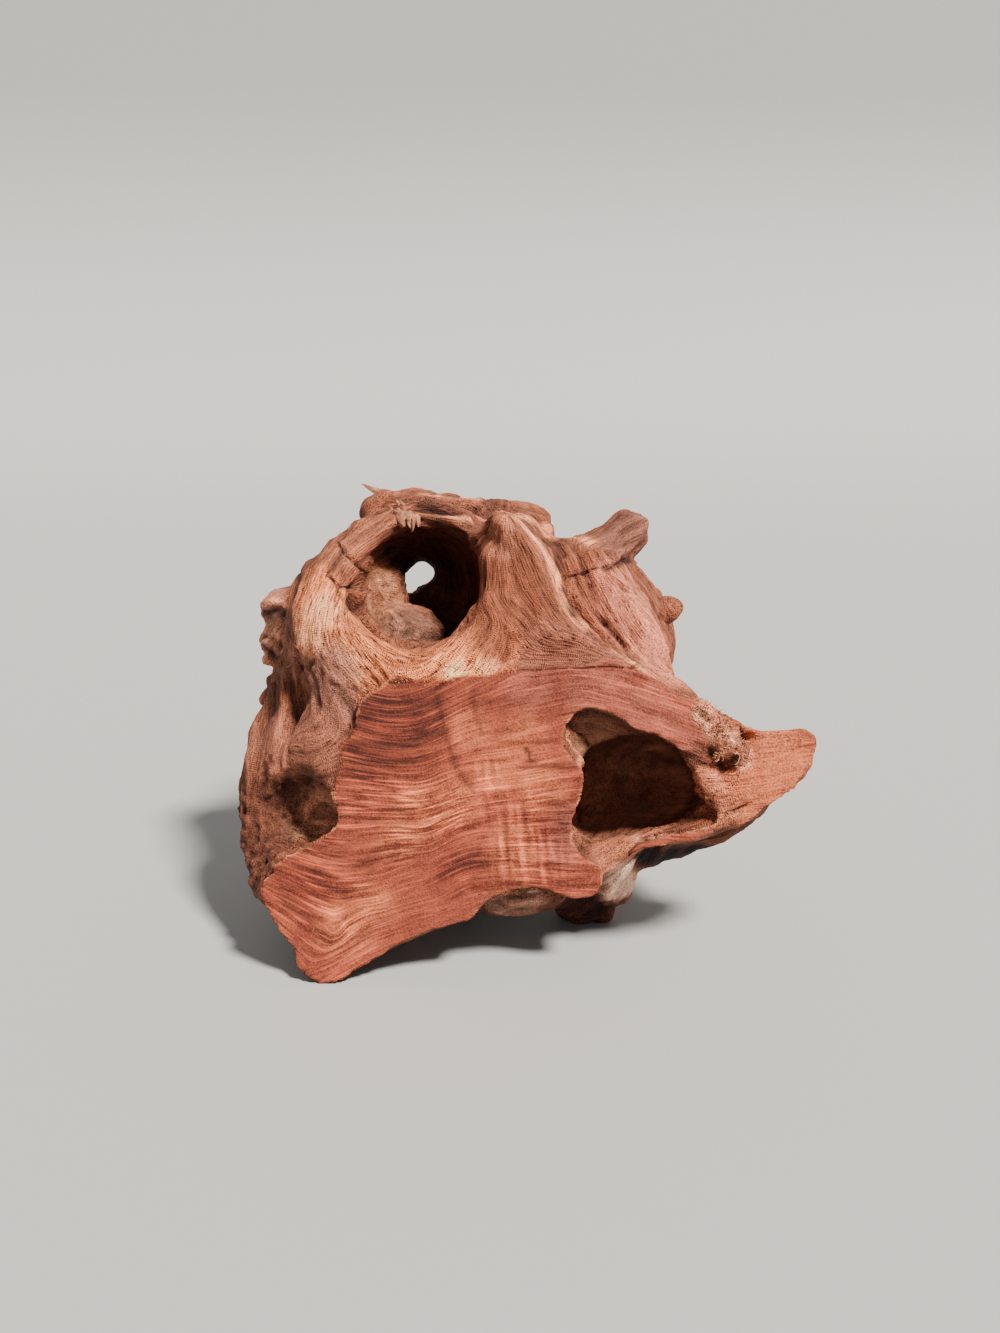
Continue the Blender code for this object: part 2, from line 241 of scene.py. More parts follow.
SIDE_GRAIN = [
    [(365, 560), (374, 590), (394, 622)], [(400, 602), (425, 612), (448, 622)],
    [(432, 530), (456, 552), (468, 580), (462, 612)], [(420, 522), (440, 540), (452, 566), (450, 596)],
    [(300, 735), (318, 748), (335, 742)], [(288, 765), (312, 772), (338, 762)],
    [(262, 606), (274, 592), (296, 586)], [(296, 653), (313, 680), (316, 713), (296, 733)],
    [(269, 713), (264, 740), (258, 773), (253, 804)], [(284, 689), (280, 724), (273, 764), (267, 793)],
    [(333, 707), (338, 729), (329, 751), (313, 764)], [(640, 841), (700, 833), (744, 814)],
    [(652, 852), (632, 878), (622, 900)], [(600, 850), (640, 820), (690, 812)],
]
BACK_GRAIN = [
    [(-14, 82, -40), (-16, 87, -18), (-8, 88, 4), (6, 83, 18), (16, 70, 29)],
    [(-16, 87, -18), (-34, 80, 2), (-44, 64, 16)], [(-8, 88, 4), (16, 82, -18), (37, 64, -24), (46, 42, -28)],
    [(38, 60, 20), (42, 64, 4), (36, 70, -8)], [(-12, 91, -62), (-14, 86, -53), (-15, 79, -40), (-10, 66, -26)],
    [(-66, 40, -30), (-50, 62, -30), (-30, 78, -34)], [(44, 20, -40), (40, 50, -44), (20, 72, -48)],
    [(-30, 20, -66), (-10, 50, -50), (20, 60, -44)], [(-40, 60, 30), (-20, 72, 32), (4, 70, 36)],
]


def corners(i, f):
    """The corners of each grid cell i, and how much each counts: f or 1 - f along each axis, multiplied."""
    for corner in itertools.product((0, 1), repeat=f.shape[1]):
        parts = [f[:, axis] if far else 1 - f[:, axis] for axis, far in enumerate(corner)]
        yield tuple((i + corner).T), math.prod(parts)


def on_grid(grid, at):
    """The grid's values at places given in steps of the grid, blended straight between its points."""
    at = np.clip(at, 0, np.array(grid.shape[: at.shape[1]]) - 1.001)
    i = at.astype(int)
    total = 0
    for spot, weight in corners(i, at - i):
        total = total + (weight * grid[spot].T).T
    return total


def grain_lines():
    """Points on all grain lines and the unit way along the grain at each."""
    points, ways = [], []
    lines = [seen_line(line) for line in FACE_GRAIN + RIM_GRAIN + PROW_GRAIN + SIDE_GRAIN]
    for line in BACK_GRAIN:
        knots = np.array(line, float)
        lines.append(np.array([a + (b - a) * t for a, b in zip(knots, knots[1:]) for t in np.arange(0, 1, 0.12)]))
    for line in lines:
        if len(line) > 1:
            points.append((line[1:] + line[:-1]) / 2)
            ways.append(line[1:] - line[:-1])
    points, ways = np.vstack(points), np.vstack(ways)
    return points, ways / (np.linalg.norm(ways, axis=1, keepdims=True) + 1e-9)


def grain_field():
    """On a coarse grid, the mean matrix of way times way over the grain lines, weighed by 1 / (r^2 + 9)^2.

    The six numbers kept are the matrix's xx, yy, zz, xy, xz and yz."""
    points, ways = grain_lines()
    counts = np.ceil((GRAIN_HIGH - GRAIN_LOW) / GRAIN_CELL).astype(int) + 1
    axes = [GRAIN_LOW[i] + GRAIN_CELL * np.arange(counts[i]) for i in range(3)]
    cells = np.stack(np.meshgrid(*axes, indexing="ij"), axis=-1).reshape(-1, 3)
    pairs = [(0, 0), (1, 1), (2, 2), (0, 1), (0, 2), (1, 2)]
    outer = np.stack([ways[:, i] * ways[:, j] for i, j in pairs], axis=1)
    field = np.empty((len(cells), 6))
    for start in range(0, len(cells), 4000):
        part = cells[start : start + 4000]
        square = (part**2).sum(1)[:, None] + (points**2).sum(1)[None, :] - 2 * part @ points.T
        weight = 1 / (np.maximum(square, 0) + 9) ** 2
        field[start : start + 4000] = weight @ outer / weight.sum(1, keepdims=True)
    return field.reshape(*counts, 6)


GRAIN = grain_field()


def grain_way(p, way, rounds=1):
    """The grain's way at each point: the field's matrix times the way given, made a unit, rounds times over.

    It stays on the side of the way given, and comes nearer the matrix's main axis with each round."""
    m = on_grid(GRAIN, (p - GRAIN_LOW) / GRAIN_CELL)
    for _ in range(rounds):
        x, y, z = way[:, 0], way[:, 1], way[:, 2]
        way = np.stack([
            m[:, 0] * x + m[:, 3] * y + m[:, 4] * z,
            m[:, 3] * x + m[:, 1] * y + m[:, 5] * z,
            m[:, 4] * x + m[:, 5] * y + m[:, 2] * z,
        ], axis=1)
        way = way / (np.linalg.norm(way, axis=1, keepdims=True) + 1e-9)
    return way


# Random values on a cube of points that repeats, and a turn that hides the cube's axes.
LATTICE_SIZE = 48
LATTICE = np.random.default_rng(11).normal(size=(LATTICE_SIZE,) * 3).astype(np.float32)
TURN = np.linalg.qr(np.random.default_rng(5).normal(size=(3, 3)))[0]


def speckle(p, size, shift=0.0):
    """Smooth random values, size mm from one to the next, blended by 3 t^2 - 2 t^3."""
    at = p @ TURN.T / size + shift
    i = np.floor(at).astype(int)
    f = at - i
    f = f * f * (3 - 2 * f)
    total = 0
    for spot, weight in corners(i, f):
        total = total + weight * LATTICE[tuple(axis % LATTICE_SIZE for axis in spot)]
    return total


def fibres(p, way, sizes, reaches, step=1.0):
    """For each size, speckle summed every step mm along the grain, as far as its reach both ways.

    That draws it out into fibres. Each sum is divided by its standard deviation."""
    totals = [speckle(p, size) for size in sizes]
    for sign in (1, -1):
        q, w = p, sign * way
        for k in range(1, int(max(reaches) / step) + 1):
            q = q + step * w
            w = grain_way(q, w)
            for n, (size, reach) in enumerate(zip(sizes, reaches)):
                if k * step <= reach:
                    totals[n] = totals[n] + speckle(q, size)
    return [t / t.std() for t in totals]


# ---- Places on the wood ----

# Zones of grown wood, each of balls: (u, v, radius in mm).
ZONES = {
    "rim": [
        (440, 665, 8), (400, 660, 8), (365, 655, 8), (335, 625, 8), (322, 590, 7), (480, 655, 7), (350, 680, 5),
        (510, 645, 5), (312, 640, 6),
    ],
    # The left and lower edge of the ring: pale wood, its tone brightened further as a painted highlight.
    "glow": [
        (320, 612, 5), (308, 640, 5), (325, 662, 5), (300, 655, 3), (345, 668, 4), (455, 672, 3), (490, 668, 3),
    ],
    "limb": [(352, 556, 6), (375, 540, 6), (395, 527, 5), (345, 585, 3)],
    # The hollow's shallow left part: its dark tone paints the hollow's shade further left.
    "basin": [(285, 812, 5), (290, 830, 3.5), (280, 797, 4)],
    "prow": [
        (490, 565, 8), (500, 590, 8), (515, 615, 8), (480, 605, 6), (525, 585, 5), (495, 640, 6), (500, 540, 5),
    ],
    "ledge": [(405, 622, 7), (425, 628, 6), (445, 630, 5), (455, 610, 4)],
    # The slope beside the crest: pale wood, its tone brightened further as a painted highlight.
    "slope": [(530, 520, 3), (548, 528, 3), (572, 538, 3)],
    "trough": [(580, 590, 7), (588, 622, 7), (572, 565, 5), (600, 642, 4)],
    "gritty": [(252, 810, 8), (252, 845, 8), (262, 875, 6), (268, 855, 6), (275, 780, 6)],
    "hollow": [(322, 812, 7), (334, 802, 6), (322, 828, 3)],
    # The recess on the left flank: its tone is painted shade.
    "shaded_recess": [(330, 672, 7), (335, 695, 7), (300, 660, 5), (312, 690, 5)],
    "pocket": [(640, 790, 15), (660, 760, 10), (610, 790, 9), (606, 825, 7), (674, 800, 7)],
    "lobe": [(596, 728, 5), (610, 740, 5), (585, 745, 4)],
    "chamber": [(460, 580, 14), (450, 610, 12), (465, 550, 10), (430, 540, 8)],
    "knot": [(378, 580, 6), (372, 598, 6), (388, 600, 5)],
    "pink": [(640, 610, 9), (655, 645, 8), (622, 580, 7), (660, 670, 6)],
    "beak": [(770, 765, 11), (735, 790, 8), (705, 803, 6)],
    "frayed": [(705, 714, 3), (715, 726, 3), (725, 738, 3.4), (735, 748, 3.2), (742, 758, 2.6)],
    "facet": [(555, 648, 5), (585, 655, 5), (535, 655, 4), (545, 638, 5), (610, 662, 4)],
    "lip": [(640, 842, 3), (670, 842, 3), (700, 834, 3), (735, 820, 3), (750, 812, 3)],
    # The outer wall under the pocket's lip: its near-black tone is painted shade.
    "keel": [(650, 856, 4), (670, 856, 4), (695, 852, 4), (635, 858, 3)],
    "saddle": [(608, 858, 5), (618, 845, 4), (600, 870, 4)],
    "knuckle": [(624, 890, 5), (620, 875, 4)],
    "belly": [(500, 908, 6), (525, 900, 5), (485, 915, 4)],
    # Low by the knuckle, next to the floor: its near-black tone is painted shade.
    "under": [(590, 905, 6), (575, 900, 5)],
    "flank": [(270, 740, 8), (266, 700, 6), (285, 760, 6), (300, 730, 7), (320, 750, 7)],
    "lump": [(272, 625, 7), (276, 650, 5), (268, 600, 5)],
    "horn": [(632, 525, 6), (615, 540, 5)],
    "lintel": [(450, 505, 7), (480, 510, 6), (430, 500, 5)],
    "brow": [(500, 532, 4), (492, 545, 4), (506, 548, 3)],
    "cheek": [(712, 788, 4), (716, 800, 4), (708, 778, 3)],
}

# Pale worn edges, pale lines on the slope beside the crest brightened as a painted highlight, and dark bands of
# painted shade along creases and the recess on the left: tone, pixels along the line, half width in mm.
EDGES = [
    ("slope", [(514, 520), (534, 538), (550, 562), (558, 590), (570, 614), (592, 637), (618, 657), (650, 680)],
     1.7),
    ("slope", [(505, 514), (530, 517), (560, 528), (590, 543)], 2.2),
    ("crest", [(440, 513), (470, 520), (500, 517)], 0.9),
    ("crest", [(348, 804), (338, 829), (313, 842), (289, 856), (267, 880)], 0.8),
    ("crest", [(421, 494), (450, 500), (478, 503)], 0.8),
    ("pink", [(600, 575), (610, 600), (625, 636), (644, 663)], 1.6),
    ("crest", [(258, 602), (272, 600), (288, 606)], 0.9), ("crest", [(345, 500), (372, 492), (392, 487)], 0.8),
    ("lip", [(640, 838), (675, 836), (700, 830), (733, 816), (748, 812)], 1.2),
    ("crest", [(568, 712), (566, 740), (578, 760), (577, 800), (570, 845)], 0.7),
    ("shade", [(262, 614), (275, 612), (292, 618)], 1.4), ("shade", [(258, 640), (270, 650), (280, 662)], 1.4),
    ("shaded_recess", [(300, 655), (308, 680), (316, 705), (316, 730)], 2.0),
    ("shaded_recess", [(323, 680), (333, 700), (325, 722)], 1.6), ("shade", [(421, 504), (440, 508), (460, 511)], 1.8),
    ("shade", [(378, 512), (392, 506), (404, 501)], 1.2),
    ("shade", [(742, 728), (745, 742), (738, 758), (728, 772)], 0.9),
    ("shade", [(712, 750), (719, 759), (726, 768)], 1.5), ("shade", [(642, 556), (624, 562), (606, 570)], 1.1),
    ("shade", [(562, 560), (562, 590), (574, 614)], 1.3),
    ("shade", [(648, 843), (690, 838), (730, 824), (752, 816)], 1.0),
    ("shade", [(345, 548), (330, 575), (340, 600)], 0.8),
]

# How bright the parts of the sawn face are: (u, v, radius in mm, brightness).
FACE_SHADES = [
    (395, 725, 12, 0.34), (370, 700, 7, 0.42), (430, 700, 8, 0.5), (395, 780, 12, 0.7), (380, 830, 12, 0.62),
    (330, 890, 14, 0.72), (370, 910, 12, 0.6), (320, 955, 10, 0.85), (470, 770, 12, 1.45), (520, 780, 12, 1.45),
    (500, 700, 10, 0.66), (550, 700, 10, 0.85), (460, 870, 12, 0.75), (480, 890, 8, 0.66), (530, 845, 12, 1.4),
    (575, 860, 8, 0.85), (570, 828, 5, 0.72), (640, 705, 8, 1.2), (670, 730, 8, 1.2), (700, 755, 7, 1.3),
    (560, 760, 8, 1.05), (780, 760, 12, 1.0),
]

# Creases and ridges: pixels along the line, half width and depth in mm; a negative depth is a ridge.
FURROWS = [
    ([(516, 669), (560, 668), (610, 667), (640, 670)], 0.7, 0.5),
    ([(560, 578), (580, 574), (605, 566), (625, 559), (640, 553)], 0.7, 1.0),
    ([(340, 545), (348, 556), (361, 570)], 0.8, 1.0), ([(330, 578), (340, 587), (352, 588)], 0.7, 0.6),
    ([(418, 503), (435, 508), (450, 509), (474, 513)], 2.0, 2.6),
    ([(418, 494), (434, 500), (450, 503), (462, 502)], 1.0, -0.9),
    ([(378, 512), (392, 505), (404, 500)], 1.2, 0.9), ([(262, 612), (275, 609), (290, 614)], 1.2, 1.6),
    ([(258, 603), (272, 602), (288, 608)], 1.2, -0.8), ([(262, 636), (275, 640), (285, 652)], 1.2, 1.2),
    ([(303, 672), (310, 690), (318, 712)], 1.0, 0.5), ([(296, 660), (306, 668), (312, 660)], 1.0, 0.8),
    ([(648, 837), (680, 832), (712, 822), (745, 806)], 0.9, 1.0),
    ([(503, 519), (520, 535), (538, 560), (549, 590), (566, 622), (600, 650), (640, 672)], 1.1, -1.2),
    ([(561, 560), (563, 590), (578, 615), (596, 634)], 2.8, 1.9),
    ([(600, 575), (610, 600), (625, 636), (644, 663)], 1.6, -0.9),
    ([(582, 560), (590, 585), (600, 612)], 2.0, 0.9),
    ([(747, 726), (746, 744), (737, 760), (724, 774)], 1.5, 3.2),
    ([(700, 707), (714, 716), (724, 727), (734, 740), (741, 752)], 1.3, -1.2),
    ([(470, 890), (490, 893), (512, 890), (528, 889)], 1.2, 0.7),
    ([(590, 745), (584, 736), (580, 734)], 0.5, 0.5), ([(503, 519), (485, 527), (470, 540)], 1.3, -0.8),
    ([(604, 566), (612, 552), (622, 545)], 1.4, 0.5), ([(612, 905), (600, 912), (585, 912)], 1.2, 0.8),
]

# Hollows and knobs: (u, v, radius and depth in mm); a negative depth is a knob.
PITS = [
    (722, 761, 3.6, 4.2), (713, 751, 1.6, 1.8), (255, 838, 1.2, 1.0), (262, 833, 0.9, 0.8),
    (246, 826, 1.0, 0.8), (272, 872, 1.0, 0.7), (250, 858, 1.0, 0.8), (303, 668, 1.4, 1.2),
    (528, 754, 0.8, 0.6), (541, 511, 8.0, 2.6), (551, 520, 6.0, 2.0), (270, 806, 1.2, 0.8),
    (258, 872, 0.9, 0.7), (243, 812, 1.1, 0.9), (725, 742, 1.2, 1.0), (716, 732, 1.2, 0.9),
    (550, 648, 1.0, 0.3), (436, 562, 1.6, -1.2), (674, 607, 2.4, -1.8), (659, 600, 1.5, 1.4),
    (660, 618, 1.5, 1.6), (640, 520, 5.0, -0.9), (378, 506, 6.0, -2.4), (388, 500, 4.0, -1.5),
    (268, 662, 1.6, -1.4), (272, 684, 1.8, -1.6), (264, 700, 1.6, -1.4), (272, 600, 5.0, -0.8),
]

# The sawn face's top edge under the ring, as pixels and then as x and z in mm.
FACE_TOP = np.array([(353, 707), (360, 699), (367, 693), (382, 684), (400, 677), (416, 681), (429, 679), (451, 680),
                     (470, 675), (490, 674), (506, 670), (516, 669), (560, 668)], float)
FACE_TOP = (FACE_TOP - VIEW_MIDDLE) * (1, -1) * CAMERA_GAP / FOCAL_PIXELS

# Saw strokes and stains on the face: pixels along the line, half width in mm, brightness.
STROKES = [
    ([(455, 700), (456, 738)], 1.3, 1.32), ([(487, 775), (494, 800), (500, 840), (503, 882)], 1.2, 1.46),
    ([(512, 800), (520, 840), (528, 880)], 1.1, 1.41), ([(530, 790), (540, 850), (545, 880)], 1.1, 1.32),
    ([(478, 792), (486, 820), (490, 850)], 1.0, 1.26), ([(545, 815), (553, 850), (556, 872)], 0.9, 1.22),
    ([(438, 700), (446, 735), (456, 768), (474, 792)], 0.9, 0.5),
    ([(472, 692), (476, 715), (482, 735)], 0.8, 0.62), ([(497, 795), (508, 845), (513, 880)], 0.9, 0.62),
    ([(523, 805), (532, 850), (537, 882)], 0.9, 0.65), ([(486, 800), (495, 850), (497, 880)], 0.9, 0.68),
    ([(538, 815), (547, 850), (552, 875)], 0.8, 0.71), ([(526, 748), (530, 758)], 0.6, 0.15),
    ([(516, 768), (584, 767)], 0.45, 0.4), ([(492, 743), (568, 741)], 0.45, 0.55),
    ([(480, 705), (540, 700), (575, 690)], 2.2, 0.8), ([(552, 800), (562, 815), (570, 840)], 2.5, 0.6),
    ([(556, 850), (560, 866)], 2.0, 0.75), ([(358, 718), (395, 715), (437, 702)], 2.0, 0.56),
    ([(352, 745), (400, 748), (440, 733)], 2.0, 0.51), ([(352, 762), (395, 762), (425, 755)], 1.6, 0.59),
    ([(376, 726), (405, 722), (432, 712)], 1.0, 1.29), ([(390, 778), (425, 800), (437, 812)], 0.9, 1.36),
    ([(362, 790), (400, 797), (430, 812)], 0.8, 1.32), ([(362, 806), (400, 815)], 0.8, 1.29),
    ([(350, 820), (385, 826), (402, 838)], 0.8, 1.29), ([(436, 800), (455, 797), (475, 792)], 1.0, 1.36),
    ([(420, 812), (445, 826), (465, 812)], 1.4, 1.44), ([(408, 836), (402, 862), (385, 880)], 1.2, 1.26),
    ([(330, 870), (350, 880), (372, 884)], 0.9, 1.26), ([(300, 905), (330, 915), (352, 930)], 1.0, 1.32),
    ([(285, 900), (310, 918), (330, 940)], 1.2, 0.62),
    ([(327, 965), (345, 940), (368, 910), (395, 880)], 1.6, 1.29),
    ([(340, 975), (362, 948), (400, 922)], 1.6, 1.23), ([(440, 878), (460, 860), (480, 852)], 1.3, 0.62),
    ([(452, 885), (470, 870), (485, 866)], 1.0, 0.71), ([(300, 868), (330, 872), (365, 866)], 1.2, 0.68),
    ([(640, 700), (672, 722), (700, 740)], 1.6, 0.77),
]

# Parts of the saw's edge worn round, and the bare saw marks: (u, v, radius in mm).
WORN = [
    (704, 768, 5.5), (711, 788, 6.5), (713, 806, 6), (700, 824, 4), (304, 690, 5), (318, 700, 5),
    (312, 722, 4.5), (320, 672, 3), (296, 715, 4), (335, 705, 4), (325, 760, 4), (300, 768, 4), (281, 800, 3),
    (284, 830, 3),
]
KERFS = [(520, 850, 8), (540, 862, 6), (508, 815, 4), (487, 770, 3)]


def radii_off(p, u, v, radius):
    """How many radii each point is from the wood's point behind pixel (u, v)."""
    middle = seen(u, v)
    return np.full(len(p), 1e3) if middle is None else np.linalg.norm(p - middle, axis=1) / radius


def ball_weight(p, balls):
    """1 up to 0.6 of a radius from a ball's middle, falling smoothly to 0 at 1.7 radii."""
    best = np.zeros(len(p))
    for ball in balls:
        best = np.maximum(best, np.clip((1.7 - radii_off(p, *ball)) / 1.1, 0, 1))
    return best * best * (3 - 2 * best)


def line_gap(p, line, reach):
    """Distance to a line of points where it is near, and the distance to its right or left, with a sign.

    Only points within reach of the line's box are measured. Stretches of over 6 mm, which jump from one part
    of the wood to another behind it, are passed over."""
    gap, side = np.full(len(p), 1e3), np.zeros(len(p))
    if len(line) < 2:
        return gap, side
    near = np.nonzero(((p > line.min(0) - reach) & (p < line.max(0) + reach)).all(1))[0]
    q, best, aside = p[near], gap[near], side[near]
    for a, b in zip(line, line[1:]):
        run = b - a
        length = math.sqrt(run @ run)
        if 1e-6 < length < 6:
            t = np.clip((q - a) @ run / length**2, 0, 1)
            far = np.linalg.norm(q - a - t[:, None] * run, axis=1)
            flat = ((q[:, 0] - a[0]) * run[2] - (q[:, 2] - a[2]) * run[0]) / (math.hypot(run[0], run[2]) + 1e-9)
            aside = np.where(far < best, flat, aside)
            best = np.minimum(far, best)
    gap[near], side[near] = best, aside
    return gap, side


def face_lines(p):
    """A number whose level lines follow the grain on the sawn face, rising by 1 a millimetre across it.

    The grain's ways on a 2 mm grid are turned by a quarter turn, and the number whose slope comes closest
    to them is found with a Fourier transform of the mirrored grid."""
    step = 2.0
    x, z = np.arange(-70, 90, step), np.arange(-92, 12, step)
    spots = np.stack(np.meshgrid(x, z, indexing="ij"), axis=-1).reshape(-1, 2)
    spots = np.stack([spots[:, 0], np.zeros(len(spots)), spots[:, 1]], axis=1)
    way = grain_way(spots, np.tile([0.9, 0.0, 0.3], (len(spots), 1)), rounds=10)
    way = way * np.where(way[:, :1] < 0, -1, 1)
    flat = way[:, [0, 2]] / (np.linalg.norm(way[:, [0, 2]], axis=1, keepdims=True) + 1e-9)
    wanted = np.stack([-flat[:, 1], flat[:, 0]], axis=1).reshape(len(x), len(z), 2)
    gx, gz = wanted[..., 0], wanted[..., 1]
    gx = np.block([[gx, gx[:, ::-1]], [-gx[::-1], -gx[::-1, ::-1]]])
    gz = np.block([[gz, -gz[:, ::-1]], [gz[::-1], -gz[::-1, ::-1]]])
    kx = 2j * math.pi * np.fft.fftfreq(gx.shape[0], step)[:, None]
    kz = 2j * math.pi * np.fft.fftfreq(gx.shape[1], step)[None, :]
    square = kx * kx + kz * kz
    square[0, 0] = 1
    level = np.fft.ifft2((kx * np.fft.fft2(gx) + kz * np.fft.fft2(gz)) / square).real[: len(x), : len(z)]
    return on_grid(level, np.stack([(p[:, 0] - x[0]) / step, (p[:, 2] - z[0]) / step], axis=1))


# ---- The wood ----

# Zone tones. Some carry painted light: the near-black tones under the pocket's lip and by the knuckle, the dark
# bands, the recess on the left flank and the hollow's shallow left part are painted shade, and the slope beside the
# crest and the ring's left and lower edge are pale wood brightened by a painted highlight.
TONES = {
    "base": "#824A33", "rim": "#DE7F50", "slope": "#FA9C70", "crest": "#DE8A64", "trough": "#874A33",
    "gritty": "#643624", "hollow": "#CC8C6C", "shaded_recess": "#9E6450", "pocket": "#AC7259", "lobe": "#845840",
    "chamber": "#8E5439", "knot": "#A3684B", "pink": "#BA6E55", "beak": "#B8623F", "frayed": "#E49C7A",
    "facet": "#9C5A44", "lip": "#BF7A5C", "keel": "#250903", "saddle": "#A86246", "knuckle": "#FFC8AC",
    "glow": "#FFA474", "limb": "#96583F", "basin": "#563828", "cheek": "#BE6E50", "brow": "#A8664A",
    "tuft": "#BE8163", "prow": "#84472E", "ledge": "#7C5140", "belly": "#B58069", "under": "#3C130C",
    "flank": "#955842", "lump": "#C48266", "horn": "#805040", "shade": "#402319", "lintel": "#72412F",
}
FACE_TONE = "#8A3F2A"

# Where the face's lines are strongest and where they fade: (u, v, radius in mm).
FIGURED = [
    (395, 725, 11), (370, 755, 9), (420, 700, 7), (365, 800, 8), (400, 820, 8), (325, 885, 9), (300, 910, 8),
    (440, 800, 6), (345, 940, 8), (465, 870, 6), (540, 850, 7),
]
PLAIN = [
    (610, 695, 8), (660, 730, 8), (500, 730, 8), (540, 730, 7), (770, 765, 9), (430, 900, 9), (320, 955, 6),
]

# Stains that change the hue of the sawn face: tone, (u, v, radius in mm).
STAINS = {
    "#6E2A1C": [
        (395, 722, 9), (370, 705, 7), (430, 702, 7), (375, 752, 6), (405, 748, 6), (300, 880, 6), (455, 875, 6),
    ],
    "#A25847": [
        (600, 690, 8), (640, 712, 8), (670, 735, 6), (692, 752, 5), (566, 820, 3.5), (562, 848, 4), (530, 688, 5),
        (585, 690, 5),
    ],
    "#B8623F": [
        (470, 730, 5), (498, 770, 6), (525, 735, 5), (540, 790, 6), (455, 800, 6), (420, 815, 6), (400, 840, 5),
        (345, 930, 6), (375, 905, 5), (515, 850, 6),
    ],
}

# How much each zone stills the fibres' relief, and how much grit it adds, in mm.
STILL = {
    "pink": 0.5, "pocket": 1, "facet": 1, "lobe": 1, "saddle": 1, "chamber": 0.7, "knot": 0.7, "flank": 0.75,
    "prow": 0.55, "ledge": 0.5, "rim": 0.3, "limb": 0.6, "basin": 1, "lump": 0.6, "shaded_recess": 0.5,
}
GRIT = {
    "gritty": 0.5, "basin": 0.35, "rim": 0.1, "hollow": 0.3, "shaded_recess": 0.25, "trough": 0.15, "frayed": 0.5,
    "knot": 0.35, "ledge": 0.4, "pink": 0.15,
}

# How fibrous and how grainy each zone looks.
FIBROUS = {
    "rim": 1.1, "slope": 1, "pink": 0.55, "prow": 0.65, "limb": 0.6, "basin": 0.2, "ledge": 0.4, "horn": 0.4,
    "knot": 0.5, "flank": 0.5, "shaded_recess": 0.4, "gritty": 0.2, "hollow": 0.2, "pocket": 0.3, "facet": 0.7,
    "lump": 0.4, "lobe": 0.3, "saddle": 0.4, "knuckle": 0.3, "belly": 0.3,
}
GRAINY = {
    "gritty": 1, "basin": 1, "rim": 0.3, "limb": 0.5, "beak": 0.8, "hollow": 1, "frayed": 0.9, "horn": 0.45,
    "pink": 0.35, "flank": 0.5, "shaded_recess": 0.8, "belly": 0.8, "knuckle": 0.5, "saddle": 0.5, "lump": 0.6,
    "trough": 0.4,
}


def dented(p, rise, fine):
    """The rise less the furrows and pits, and the signed distance from the nearest crack.

    A furrow of half width w has the depth times exp(-(r / w)^2). A ridge falls as exp(-r / w) on one side and
    2.4 times as far on the other. A pit of radius a has the depth times exp(-1.5 (r / a)^2)."""
    cut = np.full(len(p), NO_CRACK)
    for pixels, width, depth in FURROWS:
        gap, side = line_gap(p, seen_line(pixels), 3 * width + 2.5)
        wander = gap / width * (1 + 0.25 * fine)
        shape = np.exp(-wander**2) if depth > 0 else np.exp(-gap / np.where(side < 0, width, 2.4 * width))
        rise = rise - depth * shape
        if depth > 0 and width < 1.0:
            cut = np.where(gap < np.abs(cut) + 0.6, np.where(gap < 2.5, side, NO_CRACK), cut)
    for u, v, radius, depth in PITS:
        rise = rise - depth * np.exp(-(radii_off(p, u, v, radius) ** 2) * 1.5)
    return rise, cut


# Rounds of smoothing on all grown wood and on the worn edges, and the most that fibres and grit rise, in mm.
SMOOTH_ROUNDS, WEAR_ROUNDS, MOST_RISE = 10, 70, 1.4


